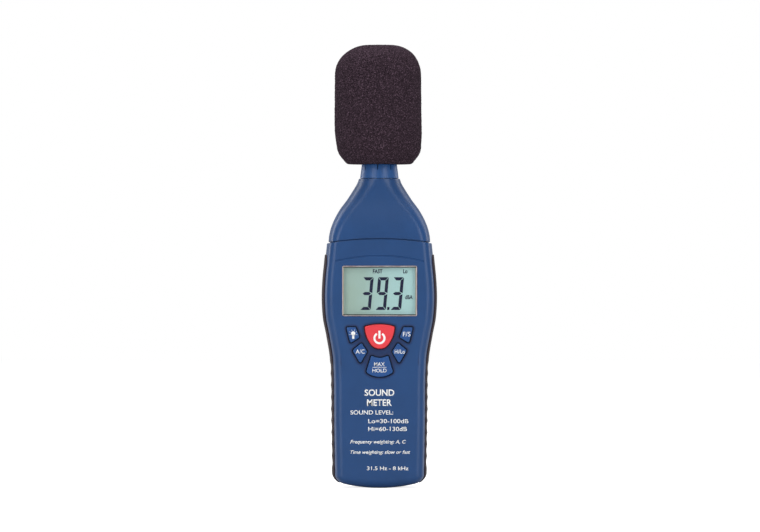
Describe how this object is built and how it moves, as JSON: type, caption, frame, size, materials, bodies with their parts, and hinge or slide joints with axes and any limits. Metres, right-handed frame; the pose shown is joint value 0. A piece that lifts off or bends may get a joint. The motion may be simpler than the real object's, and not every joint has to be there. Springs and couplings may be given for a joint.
{
  "type": "sound level meter",
  "caption": "Hand-held sound level meter: blue case with side grips, display window, press keys, and a foam windscreen on a half-inch microphone.",
  "frame": {"origin": "mouth of the tripod thread, in the plane of the flat back", "axes": "+Z along the meter towards the microphone, +Y out of the back along the tripod thread, keys and display face -Y, +X to the right of the display"},
  "size_m": [0.0546, 0.0414, 0.21],
  "materials": {
    "blue_case": "fine textured moulded ABS",
    "blue_key": "satin moulded ABS",
    "red_key": "satin moulded ABS",
    "grip_rubber": "moulded thermoplastic rubber",
    "foam": "open-cell polyurethane foam",
    "foam_pad": "closed-cell foam",
    "black_rubber": "moulded rubber",
    "silicone": "moulded silicone",
    "mic_metal": "turned and plated",
    "brass_parts": "turned brass",
    "plated_steel": "nickel plated",
    "black_steel": "black zinc plated",
    "clear_window": "polished acrylic",
    "display": "liquid crystal cell with reflector",
    "white_plastic": "moulded",
    "circuit_board": "solder resist over glass-fibre laminate",
    "chip_plastic": "moulded epoxy",
    "capacitor_sleeve": "shrink sleeve",
    "trimmer_blue": "moulded",
    "battery_jacket": "plastic film over steel",
    "lead_insulation": "PVC insulation"
  },
  "bodies": {
    "case": {"front_shell": "blue_case", "rear_shell": "blue_case", "nose_cone": "blue_case", "neck_collar": "blue_case", "mic_sleeve": "black_rubber", "mic_barrel": "mic_metal", "mic_ring": "white_plastic", "mic_capsule": "brass_parts", "mic_grid": "mic_metal", "mic_leads": "lead_insulation", "lcd_window": "clear_window", "lcd_frame": "white_plastic", "lcd_glass": "display", "backlight_panel": "white_plastic", "contact_strips": "silicone", "key_mat": "silicone", "left_grip": "grip_rubber", "right_grip": "grip_rubber", "main_board": "circuit_board", "microcontroller": "chip_plastic", "amplifier_chips": "chip_plastic", "capacitors": "capacitor_sleeve", "crystal": "plated_steel", "trimmer_body": "trimmer_blue", "battery": "battery_jacket", "battery_snap": "chip_plastic", "battery_leads": "lead_insulation", "tripod_insert": "brass_parts", "case_screws": "black_steel", "board_screws": "plated_steel"},
    "windscreen": {"windscreen": "foam"},
    "battery_door": {"battery_door": "blue_case", "battery_pad": "foam_pad"},
    "trimmer_rotor": {"trimmer_rotor": "white_plastic"},
    "power_key": {"power_key": "red_key"},
    "backlight_key": {"backlight_key": "blue_key"},
    "response_key": {"response_key": "blue_key"},
    "weighting_key": {"weighting_key": "blue_key"},
    "range_key": {"range_key": "blue_key"},
    "hold_key": {"hold_key": "blue_key"}
  },
  "joints": [
    {"name": "power_key_press", "type": "slide", "parent": "case", "child": "power_key", "axis": [0, 1, 0], "range_m": [0, 0.0008], "stiffness_N_per_m": 1500, "springref_m": -0.0002},
    {"name": "backlight_key_press", "type": "slide", "parent": "case", "child": "backlight_key", "axis": [0, 1, 0], "range_m": [0, 0.0008], "stiffness_N_per_m": 1500, "springref_m": -0.0002},
    {"name": "response_key_press", "type": "slide", "parent": "case", "child": "response_key", "axis": [0, 1, 0], "range_m": [0, 0.0008], "stiffness_N_per_m": 1500, "springref_m": -0.0002},
    {"name": "weighting_key_press", "type": "slide", "parent": "case", "child": "weighting_key", "axis": [0, 1, 0], "range_m": [0, 0.0008], "stiffness_N_per_m": 1500, "springref_m": -0.0002},
    {"name": "range_key_press", "type": "slide", "parent": "case", "child": "range_key", "axis": [0, 1, 0], "range_m": [0, 0.0008], "stiffness_N_per_m": 1500, "springref_m": -0.0002},
    {"name": "hold_key_press", "type": "slide", "parent": "case", "child": "hold_key", "axis": [0, 1, 0], "range_m": [0, 0.0008], "stiffness_N_per_m": 1500, "springref_m": -0.0002},
    {"name": "windscreen_pull", "type": "slide", "parent": "case", "child": "windscreen", "axis": [0, 0, 1], "range_m": [0, 0.035]},
    {"name": "battery_door_slide", "type": "slide", "parent": "case", "child": "battery_door", "axis": [0, 0, -1], "range_m": [0, 0.06]},
    {"name": "trimmer_turn", "type": "hinge", "parent": "case", "child": "trimmer_rotor", "pos_m": [0.013, -0.019, 0.02], "axis": [0, 1, 0], "range_deg": [-135, 135]}
  ]
}
